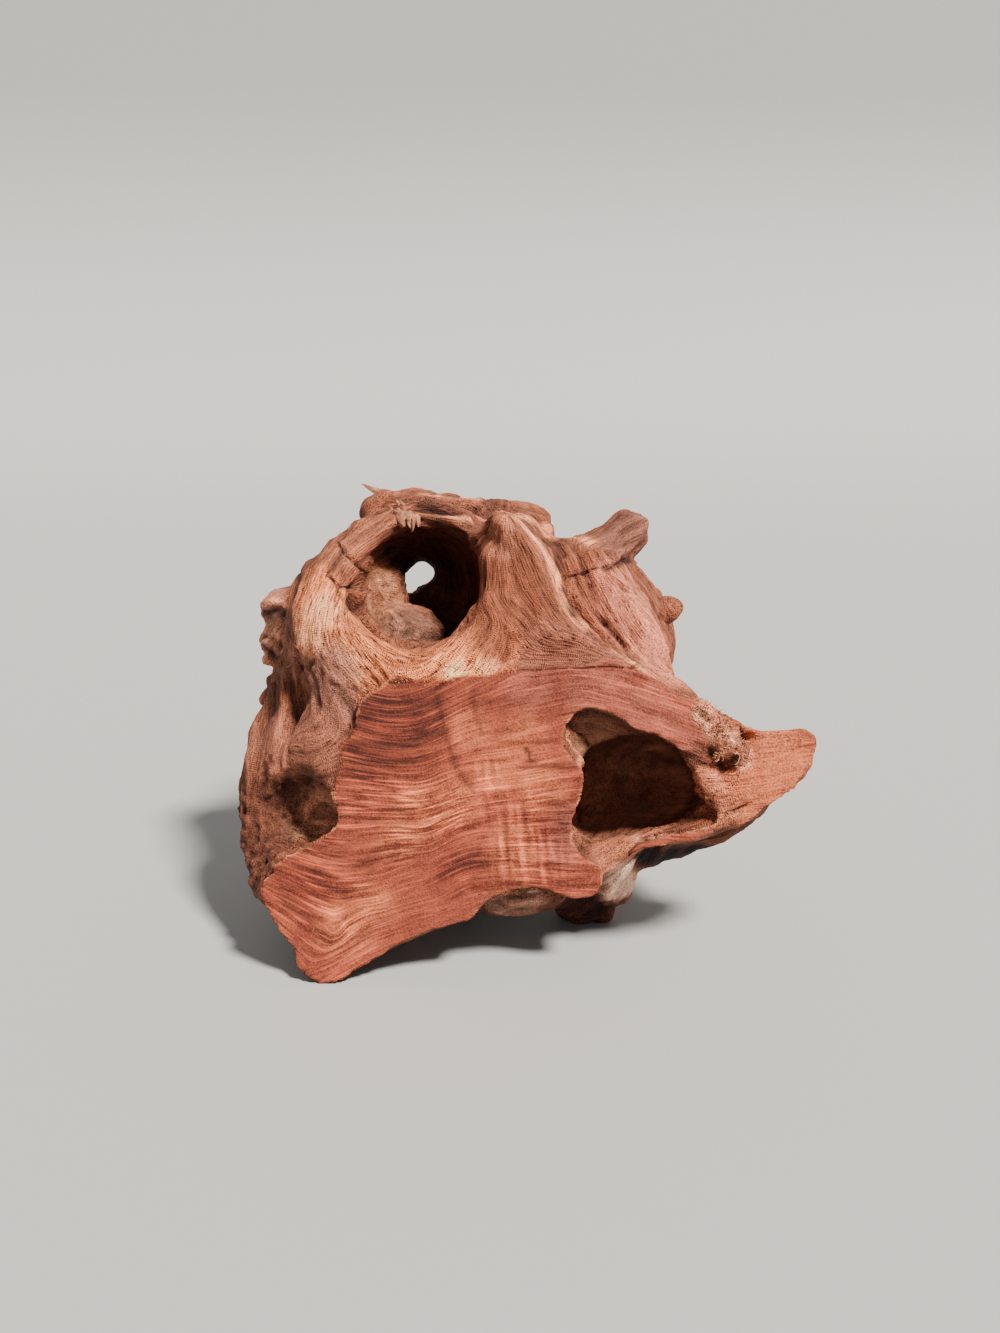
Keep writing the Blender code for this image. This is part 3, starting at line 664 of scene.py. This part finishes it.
def build_wood():
    """The CAD solid with fibres, grit, furrows and pits moved in and out along its normals.

    sawn is 1 on the flat face and 0 elsewhere, over is 1 above its top edge, and the soles and the face keep
    their planes. Fibres stand 0.26 mm high where fine and 0.42 mm where coarse."""
    remesh = wood.modifiers.new("even mesh", "REMESH")
    remesh.mode = "VOXEL"
    remesh.voxel_size = VOXEL / 1000
    settle(wood)
    mesh = wood.data
    edges = edges_of(mesh)
    p = to_face(points_of(mesh))
    n = normals_of(mesh)

    sawn = np.clip((0.9 - np.abs(p[:, 1])) / 0.5, 0, 1) * np.clip((-n[:, 1] - 0.5) / 0.3, 0, 1)
    top = np.interp(p[:, 0], FACE_TOP[:, 0], FACE_TOP[:, 1], left=99, right=99)
    over = np.clip((p[:, 2] - top) / 0.4, 0, 1) * (np.abs(p[:, 1]) < 1.2)
    sawn = sawn * (1 - over)
    sole = (from_face(p)[:, 2] < 0.6).astype(float)
    p = smooth(p, edges, SMOOTH_ROUNDS, (1 - sawn) * (1 - sole))
    worn = ball_weight(p, WORN)
    sawn = sawn * (1 - worn)
    p = smooth(p, edges, WEAR_ROUNDS, worn, (0.5,))
    p[:, 1] = np.where(sawn > 0.5, 0, p[:, 1] + over * np.minimum(0.3 * (p[:, 2] - top), 0.5) * (over > 0))
    put_points(mesh, from_face(p))
    n = normals_of(mesh)

    way = grain_way(p, np.tile([0.577, 0.6, 0.55], (len(p), 1)), rounds=10)
    fine, coarse = fibres(p, way, (1.4, 4.2), (7, 16))
    z = {name: ball_weight(p, balls) for name, balls in ZONES.items()}
    for name, pixels, width in EDGES:
        gap, _ = line_gap(p, seen_line(pixels), 3 * width)
        z[name] = np.maximum(z.get(name, 0), np.exp(-((gap / width) ** 2)))
    free = np.maximum(1 - sawn, z["frayed"])
    still = np.maximum.reduce([z[name] * level for name, level in STILL.items()])
    rise = free * (0.26 * fine + 0.42 * coarse) * (1 - 0.7 * still)
    grit = speckle(p, 1.3) * 0.6 + speckle(p, 2.6, 7.0) * 0.4
    rough = sum((z[name] * level for name, level in GRIT.items()), 0.08)
    rise = np.clip(rise + free * grit * rough, -MOST_RISE, MOST_RISE)
    rise, cut = dented(p, rise, fine)
    moved = p + n * rise[:, None]
    hollow = ((neighbour_mean(moved, edges) - moved) * n).sum(1)
    for _ in range(3):
        hollow = 0.5 * hollow + 0.5 * neighbour_mean(hollow[:, None], edges)[:, 0]
    world = from_face(moved)
    world[:, 2] = np.maximum(world[:, 2], 0)
    put_points(mesh, world)
    shade_wood(mesh, p, n, way, fine, coarse, hollow / hollow.std(), sawn, cut, z)
    thin_out(sawn)


def mixed(z, plain, levels):
    """A number that is plain on plain wood and goes over to each zone's own level by the zone's weight."""
    made = np.full(len(z["rim"]), float(plain))
    for name, level in levels.items():
        made = made + z[name] * (level - made)
    return made


def shade_wood(mesh, p, n, way, fine, coarse, hollow, sawn, cut, z):
    """Keeps on the points the numbers that the material reads.

    The colour of grown wood goes from the base to each zone's tone, is darker in hollows, is darker underneath as
    painted shade, and varies along the fibres. Some zone tones are painted highlights and painted shade. The sawn
    face has its own tone, stains, shades and strokes."""
    colour = np.tile(linear(TONES["base"]), (len(p), 1))
    for name, weight in z.items():
        colour = colour + weight[:, None] * (linear(TONES[name]) - colour)
    patch = speckle(p, 9.0, 3.0)
    colour = colour * (1 + 0.10 * fine + 0.12 * coarse + 0.08 * patch)[:, None]
    colour = colour * np.clip(1 - 0.16 * hollow, 0.45, 1.4)[:, None]
    # Painted shade: grown wood that faces down is darkened by up to a half, and wood facing sideways a little.
    painted_underside_shade = np.clip(0.1 - turned_from_face(n)[:, 2], 0, 1) * (1 - sawn)
    colour = colour * (1 - 0.5 * painted_underside_shade)[:, None]

    shade, total = np.ones(len(p)), np.ones(len(p))
    for u, v, radius, bright in FACE_SHADES:
        weight = 3 * np.exp(-(radii_off(p, u, v, radius) ** 2))
        shade, total = shade + weight * bright, total + weight
    stroke = np.ones(len(p))
    ragged = 1 + 0.3 * fine
    for pixels, width, bright in STROKES:
        gap, _ = line_gap(p, seen_line(pixels), 3 * width)
        stroke = stroke * (1 + (bright - 1) * np.exp(-((gap / width * ragged) ** 2)))
    face = np.tile(linear(FACE_TONE), (len(p), 1))
    for tone, balls in STAINS.items():
        face = face + 0.5 * ball_weight(p, balls)[:, None] * (linear(tone) - face)
    face = face * (0.5 + 0.5 * shade / total)[:, None] * stroke[:, None] * (1 + 0.07 * patch)[:, None]
    face = face + z["beak"][:, None] * (linear(TONES["beak"]) - face)
    clean = sawn * (1 - z["frayed"])
    colour = np.clip(colour + clean[:, None] * (face - colour), 0.004, 1)
    keep_numbers(mesh, {
        "tint": np.hstack([colour, np.ones((len(p), 1))]), "grain": turned_from_face(way),
        "face_lines": face_lines(p), "sawn": clean, "crack": cut, "kerf": ball_weight(p, KERFS) * sawn,
        "figure": 1.05 + 0.75 * ball_weight(p, FIGURED) - 0.4 * ball_weight(p, PLAIN),
        "fibrous": mixed(z, 0.8, FIBROUS), "grainy": mixed(z, 0.15, GRAINY),
    })


def thin_out(sawn):
    """Collapses edges until the wood has few enough triangles, and leaves the sawn face as it is."""
    group = wood.vertex_groups.new(name="free")
    group.add([int(i) for i in np.nonzero(sawn < 0.5)[0]], 1.0, "REPLACE")
    thin = wood.modifiers.new("thin out", "DECIMATE")
    thin.ratio = MOST_TRIANGLES / (2 * len(wood.data.polygons))
    thin.vertex_group = "free"
    settle(wood)
    wood.vertex_groups.clear()


# ---- Loose fibres ----


def keep_numbers(mesh, numbers):
    """Puts named arrays on the mesh's points, for the material to read."""
    for name, values in numbers.items():
        width = values.shape[1] if values.ndim == 2 else 1
        kind, key = {1: ("FLOAT", "value"), 3: ("FLOAT_VECTOR", "vector"), 4: ("FLOAT_COLOR", "color")}[width]
        put = mesh.attributes.new(name, kind, "POINT")
        put.data.foreach_set(key, np.asarray(values, np.float32).ravel())


def strands(roots, ways, lengths, widths, curl, seed, flat=1.0, steps=9, sides=5):
    """Points, faces and ways along of tapered fibres, in the face frame.

    Fibre i runs root + way * length * t, bent aside by curl * length * (1 - cos(turn * t)) along one random
    direction square to it and by curl * length * sin(turn * t) * t along another. Its radius falls from
    its width to 0.16 of that as (1 - t)^0.6, and flat squeezes it one way. Both ends are closed."""
    rng = np.random.default_rng(seed)
    count = len(roots)
    t = np.linspace(0, 1, steps)[None, :, None]
    ways = ways / np.linalg.norm(ways, axis=1, keepdims=True)
    aside = np.cross(ways, rng.normal(size=(count, 3)))
    aside /= np.linalg.norm(aside, axis=1, keepdims=True)
    other = np.cross(ways, aside)
    turn = rng.uniform(0.8, 3.6, (count, 1, 1))
    size = lengths[:, None, None]
    path = (
        roots[:, None] + ways[:, None] * size * t + aside[:, None] * curl * size * (1 - np.cos(turn * t))
        + other[:, None] * curl * size * np.sin(turn * t) * t
    )
    along = np.gradient(path, axis=1)
    along /= np.linalg.norm(along, axis=2, keepdims=True)
    side = aside[:, None] - along * (aside[:, None] * along).sum(2, keepdims=True)
    side /= np.linalg.norm(side, axis=2, keepdims=True)
    up = np.cross(along, side)
    radius = (widths[:, None, None] * np.maximum((1 - t) ** 0.6, 0.16))[..., None]
    angle = np.linspace(0, 2 * math.pi, sides, endpoint=False)[None, None, :, None]
    ring = side[:, :, None] * np.cos(angle) + up[:, :, None] * np.sin(angle) * flat
    points = (path[:, :, None] + ring * radius).reshape(-1, 3)
    grid = np.arange(len(points)).reshape(count, steps, sides)
    after = np.roll(grid, -1, axis=2)
    walls = np.stack([grid[:, :-1], after[:, :-1], after[:, 1:], grid[:, 1:]], axis=-1).reshape(-1, 4)
    ends = np.concatenate([grid[:, 0, ::-1], grid[:, -1]])
    return points, walls.tolist() + ends.tolist(), np.repeat(along.reshape(-1, 3), sides, axis=0)


# Bundles of fibres: pixels along the roots, count, way, its spread, length and half width in mm, curl,
# squeeze, tone, seed.
BUNDLES = [
    ([(700, 706), (712, 716), (722, 728), (733, 742), (742, 757)],
     330, (0.3, -0.8, 0.5), 0.8, 2.4, 0.2, 0.35, 1, "frayed", 1),
    ([(706, 722), (716, 735), (722, 748), (715, 760)], 90, (0.3, -0.8, 0.1), 0.8, 1.8, 0.15, 0.35, 1, "frayed", 2),
    ([(738, 772), (745, 760), (750, 745)], 60, (-0.6, -0.6, 0.2), 0.7, 1.6, 0.13, 0.35, 1, "frayed", 3),
    ([(755, 738), (780, 737), (804, 742)], 90, (-0.3, -0.5, 0.8), 0.5, 1.1, 0.11, 0.3, 1, "frayed", 4),
    ([(356, 700), (372, 688), (392, 679), (412, 679)], 110, (0.3, -0.4, -0.8), 0.7, 1.0, 0.13, 0.15, 1, "rim", 5),
    ([(416, 680), (440, 681), (470, 675), (500, 671), (516, 668)],
     200, (0.2, -0.4, -0.8), 0.7, 0.95, 0.12, 0.15, 1, "rim", 6),
    ([(399, 508), (403, 514), (401, 520)], 9, (0.1, -0.5, -0.9), 0.4, 2.6, 1.5, 0.12, 0.7, "tuft", 7),
    ([(404, 512), (412, 515), (418, 516)], 13, (0.1, -0.35, -0.95), 0.25, 3.5, 1.25, 0.1, 0.7, "tuft", 8),
    ([(390, 512), (397, 508), (404, 506)], 7, (-0.2, -0.6, 0.7), 0.4, 2.4, 1.4, 0.12, 0.7, "tuft", 9),
    ([(560, 579), (600, 570), (636, 554)], 40, (0.2, -0.6, -0.5), 0.6, 1.0, 0.09, 0.3, 1, "pink", 10),
    ([(300, 835), (285, 855), (300, 812)], 60, (0.2, -0.7, 0.4), 0.8, 1.2, 0.2, 0.4, 1, "saddle", 11),
    ([(480, 893), (505, 895), (526, 893)], 50, (0.1, -0.7, -0.5), 0.6, 1.5, 0.13, 0.3, 1, "saddle", 12),
    ([(640, 840), (675, 837), (710, 828), (745, 814)], 80, (0.1, -0.6, 0.6), 0.5, 0.8, 0.1, 0.3, 1, "lip", 13),
]

# The flake: the pixel near its root, the root's shift from the wood there in mm, the tip's pixel, half width.
FLAKE_PIXEL, FLAKE_SHIFT, FLAKE_TIP, FLAKE_WIDTH = (386, 505), (0.4, 0.6, 2.9), (361, 487), 1.5


def build_fibres():
    """All loose fibres and the curled flake at the top left, as one mesh."""
    made, tints = [], []
    for pixels, count, way, spread, length, width, curl, flat, tone, seed in BUNDLES:
        rng = np.random.default_rng(seed)
        line = np.array([p for p in (seen(u, v) for u, v in pixels) if p is not None])
        t = rng.uniform(0, len(line) - 1.001, count)
        i = t.astype(int)
        roots = line[i] + (line[i + 1] - line[i]) * (t - i)[:, None] + rng.normal(0, 0.5, (count, 3)) * (1, 0.2, 1)
        found = [wood_tree.find_nearest(Vector(r))[:2] for r in roots]
        roots = np.array([place - normal * 0.25 for place, normal in found])
        aims = np.array(way) + rng.normal(0, spread, (count, 3)) * 0.6
        lengths, widths = length * rng.uniform(0.5, 1.3, count), width * rng.uniform(0.6, 1.2, count)
        made.append(strands(roots, aims, lengths, widths, curl, seed + 50, flat))
        each = len(made[-1][0]) // count
        tints.append(linear(TONES[tone]) * np.repeat(rng.uniform(0.55, 1.1, count), each)[:, None])

    place = np.array(wood_tree.find_nearest(Vector(seen(*FLAKE_PIXEL)))[0])
    scale = (CAMERA_GAP + place[1]) / FOCAL_PIXELS
    tip = np.array([(FLAKE_TIP[0] - VIEW_MIDDLE[0]) * scale, place[1], (VIEW_MIDDLE[1] - FLAKE_TIP[1]) * scale])
    run = tip - place - FLAKE_SHIFT
    made.append(strands((place + FLAKE_SHIFT)[None], run[None], np.array([np.linalg.norm(run)]),
                        np.array([FLAKE_WIDTH]), 0.1, 5, 0.55, 17, 10))
    tints.append(np.tile(linear(TONES["tuft"]), (len(made[-1][0]), 1)))

    starts = np.cumsum([0] + [len(points) for points, _, _ in made]).tolist()
    faces = [[k + start for k in face] for start, (_, walls, _) in zip(starts, made) for face in walls]
    points, ways, colours = np.vstack([m[0] for m in made]), np.vstack([m[2] for m in made]), np.vstack(tints)
    mesh = bpy.data.meshes.new("loose_fibres")
    mesh.from_pydata((from_face(points) / 1000).tolist(), [], faces)
    count = len(points)
    keep_numbers(mesh, {
        "tint": np.hstack([colours, np.ones((count, 1))]), "grain": ways, "face_lines": np.zeros(count),
        "sawn": np.zeros(count), "crack": np.full(count, NO_CRACK), "kerf": np.zeros(count),
        "fibrous": np.full(count, 0.3), "grainy": np.zeros(count), "figure": np.ones(count),
    })
    piece = bpy.data.objects.new("loose_fibres", mesh)
    bpy.context.scene.collection.objects.link(piece)
    mesh.shade_smooth()
    return piece


# ---- Materials ----


def add(tree, kind, inputs=None, **settings):
    """Adds a node of a kind with its settings, and gives its inputs, by name or number, values or links."""
    made = tree.nodes.new(kind)
    for key, value in settings.items():
        setattr(made, key, value)
    for key, value in (inputs or {}).items():
        if isinstance(value, bpy.types.NodeSocket):
            tree.links.new(value, made.inputs[key])
        else:
            made.inputs[key].default_value = value
    return made


def formula(tree, parts):
    """A formula's result: parts is a number or socket, or an operation and what it takes, each a formula too.

    Operations go from left to right. RANGE draws a value's stretch out to another, held at its ends: the
    value, the first stretch's two ends, and the second's."""
    if not isinstance(parts, tuple):
        return parts
    operation, made, *others = [formula(tree, part) for part in parts]
    if operation == "RANGE":
        ends = dict(zip(("From Min", "From Max", "To Min", "To Max"), others))
        return add(tree, "ShaderNodeMapRange", {"Value": made, **ends}).outputs[0]
    if not others:
        return add(tree, "ShaderNodeMath", {0: made}, operation=operation).outputs[0]
    for other in others:
        made = add(tree, "ShaderNodeMath", {0: made, 1: other}, operation=operation).outputs[0]
    return made


# Metres: the fibres' noise, the step between its samples along the grain, pores and worn patches.
FIBRE, FIBRE_STEP, PORE, PATCH = 0.0005, 0.0006, 0.00045, 0.004

# Millimetres across the sawn face: its threads, its bands and the spacing of its saw marks.
THREAD, BAND, SAW_MARK = 0.55, 2.6, 2.6


def wood_material():
    """Dry weathered root wood: grown wood is matt and fibrous along the grain, and one side was bandsawn.

    The tint on the points is multiplied by a brightness, worked out apart for grown and for sawn wood. Fibres
    are 0.5 mm noise summed over 3.6 mm of grain, and pores are 0.45 mm noise. The sawn face has threads of
    0.55 mm and bands of 2.6 mm across the number face_lines, and saw marks 2.6 mm apart. Under 1 the
    brightness is raised to the power 1.3 for green and 1.45 for blue, so dark lines are redder."""
    material = bpy.data.materials.new("weathered red root wood")
    material.use_nodes = True
    tree = material.node_tree
    shader = tree.nodes["Principled BSDF"]
    place = add(tree, "ShaderNodeTexCoord").outputs["Object"]

    kept = []
    for name in ("tint", "grain", "face_lines", "sawn", "crack", "kerf", "fibrous", "grainy", "figure"):
        out = {"tint": "Color", "grain": "Vector"}.get(name, "Fac")
        kept.append(add(tree, "ShaderNodeAttribute", attribute_name=name).outputs[out])
    tint, way, lines, sawn, crack, kerf, fibrous, grainy, figure = kept

    # Each noise: what it is read by, its size there and its detail. Face noise is read by millimetres.
    in_mm = add(tree, "ShaderNodeVectorMath", {0: place, "Scale": 1000.0}, operation="SCALE").outputs[0]
    along_x, _, along_z = add(tree, "ShaderNodeSeparateXYZ", {0: in_mm}).outputs
    on_face = add(tree, "ShaderNodeCombineXYZ", {0: lines, 1: along_x, 2: along_z}).outputs[0]
    reads = [(place, PORE, 2.0), (place, PATCH, 3.0), (place, 0.009, 2.0), (place, 0.014, 2.0),
             (place, 0.006, 1.0), (place, 0.0016, 1.0)]
    for across, along, detail in ((THREAD, 12.0, 1.0), (0.7, 9.0, 2.0), (BAND, 30.0, 2.0)):
        finer = {0: on_face, 1: (1 / across, 1 / along, 1 / along)}
        reads.append((add(tree, "ShaderNodeVectorMath", finer, operation="MULTIPLY").outputs[0], 1.0, detail))
    for k in range(-3, 4):
        step = add(tree, "ShaderNodeVectorMath", {0: way, "Scale": k * FIBRE_STEP}, operation="SCALE").outputs[0]
        spot = add(tree, "ShaderNodeVectorMath", {0: place, 1: step}, operation="ADD").outputs[0]
        reads.append((spot, FIBRE, 1.0))
    pore, patch, turns, lull, wobble, breaks, threads, dark_threads, bands, *row = [
        add(tree, "ShaderNodeTexNoise", {"Vector": by, "Scale": 1 / size, "Detail": detail, "Roughness": 0.6})
        .outputs["Fac"] for by, size, detail in reads
    ]

    fibre = formula(tree, ("RANGE", ("ADD", *row), 3.0, 4.0, 0.0, 1.0))
    flecks = formula(tree, ("RANGE", ("ADD", *row[2:5]), 1.14, 1.28, 1.0, 0.0))
    light_lines = ("MULTIPLY", ("RANGE", threads, 0.57, 0.68, 0.0, 1.0), ("SUBTRACT", 1.0, grainy),
                   ("RANGE", turns, 0.42, 0.58, 0.2, 1.1))
    dark_lines = ("MULTIPLY", ("RANGE", dark_threads, 0.42, 0.3, 0.0, 1.0), ("RANGE", turns, 0.42, 0.58, 1.2, 0.5))
    calm = ("MULTIPLY", ("RANGE", lull, 0.4, 0.6, 0.35, 1.0), ("SUBTRACT", 1.0, ("MULTIPLY", grainy, 0.7)))
    calm_bands = ("ADD", ("MULTIPLY", ("ADD", bands, -0.5), calm), 0.5)
    tilt = ("ADD", ("MULTIPLY", along_x, 0.997), ("MULTIPLY", along_z, 0.065))
    wave = ("SINE", ("MULTIPLY", ("ADD", tilt, ("MULTIPLY", wobble, 1.2)), 2 * math.pi / SAW_MARK))
    marks = formula(tree, ("MULTIPLY", wave, kerf, ("RANGE", patch, 0.35, 0.6, 0.3, 1.0)))

    drawn = ("ADD", ("RANGE", calm_bands, 0.34, 0.66, 0.56, 1.38), ("RANGE", light_lines, 0.0, 1.0, 0.0, 0.8),
             ("RANGE", threads, 0.36, 0.64, -0.2, 0.2), ("RANGE", dark_lines, 0.0, 1.0, 0.0, -0.36),
             ("MULTIPLY", marks, 0.09), -1.0)
    face_shade = ("ADD", ("MULTIPLY", drawn, figure), ("RANGE", pore, 0.35, 0.65, 0.73, 1.27),
                  ("MULTIPLY", grainy, ("RANGE", pore, 0.35, 0.65, -0.14, 0.14)),
                  ("RANGE", patch, 0.3, 0.7, -0.2, 0.2))
    face_shade = formula(tree, ("MAXIMUM", face_shade, 0.3))
    grown_shade = formula(tree, (
        "ADD", ("MULTIPLY", ("ADD", fibre, -0.5), fibrous, 0.95), 0.97, ("RANGE", pore, 0.3, 0.7, -0.2, 0.2),
        ("RANGE", patch, 0.3, 0.7, -0.16, 0.16), ("MULTIPLY", flecks, fibrous, -0.65),
        ("MULTIPLY", grainy, ("RANGE", pore, 0.3, 0.7, -0.35, 0.35)),
    ))
    shade = add(tree, "ShaderNodeMix", {0: sawn, 2: grown_shade, 3: face_shade}).outputs[0]
    crack_core = formula(tree, ("MAXIMUM", ("RANGE", ("ABSOLUTE", crack), 0.1, 0.4, 0.3, 1.0),
                                ("RANGE", breaks, 0.5, 0.62, 0.0, 1.0)))
    bright = formula(tree, ("MULTIPLY", shade, crack_core))
    dark = formula(tree, ("MINIMUM", bright, 1.0))
    green, blue = (formula(tree, ("MULTIPLY", bright, ("POWER", dark, power))) for power in (0.3, 0.45))
    reddened = add(tree, "ShaderNodeCombineXYZ", {0: bright, 1: green, 2: blue}).outputs[0]
    colour = add(tree, "ShaderNodeVectorMath", {0: tint, 1: reddened}, operation="MULTIPLY")

    face_height = ("ADD", ("MULTIPLY", threads, 0.35), ("MULTIPLY", marks, 0.35), ("MULTIPLY", pore, 0.35))
    grown_height = ("ADD", ("MULTIPLY", fibre, fibrous), ("MULTIPLY", flecks, -0.7),
                    ("MULTIPLY", pore, ("ADD", grainy, 0.3)))
    both = {0: sawn, 2: formula(tree, grown_height), 3: formula(tree, face_height)}
    height = formula(tree, ("ADD", add(tree, "ShaderNodeMix", both).outputs[0], crack_core))
    bump = add(tree, "ShaderNodeBump", {"Strength": 0.9, "Distance": 0.0007, "Height": height})

    tree.links.new(colour.outputs[0], shader.inputs["Base Color"])
    tree.links.new(bump.outputs["Normal"], shader.inputs["Normal"])
    shader.inputs["Roughness"].default_value = 0.78
    shader.inputs["Specular IOR Level"].default_value = 0.3
    return material


# ---- Studio ----


def light_and_camera():
    """The camera square to the sawn face, a soft key light from the upper right, and a pale surround."""
    scene = bpy.context.scene
    ahead = Vector((0, LEAN_COS, -LEAN_SIN))
    eye = bpy.data.objects.new("camera", bpy.data.cameras.new("camera"))
    scene.collection.objects.link(eye)
    eye.data.sensor_width = 36
    eye.data.lens = FOCAL_PIXELS * eye.data.sensor_width / VIEW_HEIGHT
    eye.data.clip_start = 0.01
    eye.data.shift_y = (VIEW_MIDDLE[1] - VIEW_HEIGHT / 2) / VIEW_HEIGHT
    eye.location = Vector(FACE_ORIGIN / 1000) - ahead * CAMERA_GAP / 1000
    eye.rotation_mode = "QUATERNION"
    eye.rotation_quaternion = ahead.to_track_quat("-Z", "Y")
    scene.camera = eye

    scene.world = bpy.data.worlds.new("studio")
    scene.world.use_nodes = True
    surround = scene.world.node_tree.nodes["Background"]
    surround.inputs["Color"].default_value = (0.93, 0.96, 1.0, 1)
    surround.inputs["Strength"].default_value = 0.33
    sun = bpy.data.objects.new("key", bpy.data.lights.new("key", "SUN"))
    scene.collection.objects.link(sun)
    sun.data.energy = 9.0
    sun.data.angle = 0.18
    sun.data.color = (1.0, 0.95, 0.88)
    sun.rotation_euler = Vector((0.46, -0.5, 0.92)).to_track_quat("Z", "Y").to_euler()


def floor():
    """A flat floor that curves up into a wall behind: y forward, then a quarter turn of radius 0.4 m."""
    turn = np.linspace(0, math.pi / 2, 17)
    y = np.concatenate([[-2.0], 0.9 + 0.4 * np.sin(turn), [1.3]])
    z = np.concatenate([[0.0], 0.4 - 0.4 * np.cos(turn), [2.0]])
    points = [(x, a, b) for a, b in zip(y, z) for x in (-2.5, 2.5)]
    faces = [(2 * i, 2 * i + 1, 2 * i + 3, 2 * i + 2) for i in range(len(y) - 1)]
    mesh = bpy.data.meshes.new("floor")
    mesh.from_pydata(points, [], faces)
    mesh.shade_smooth()
    sheet = bpy.data.objects.new("floor", mesh)
    bpy.context.scene.collection.objects.link(sheet)
    material = bpy.data.materials.new("pale matt board")
    material.use_nodes = True
    board = material.node_tree.nodes["Principled BSDF"]
    board.inputs["Base Color"].default_value = (0.4, 0.4, 0.39, 1)
    board.inputs["Roughness"].default_value = 0.7
    mesh.materials.append(material)


build_wood()
wood.data.shade_smooth()
red_wood = wood_material()
wood.data.materials.append(red_wood)
fibre_piece = build_fibres()
fibre_piece.data.materials.append(red_wood)
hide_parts("driftwood")
for piece in (wood, fibre_piece):
    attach(piece, "root")
floor()
light_and_camera()
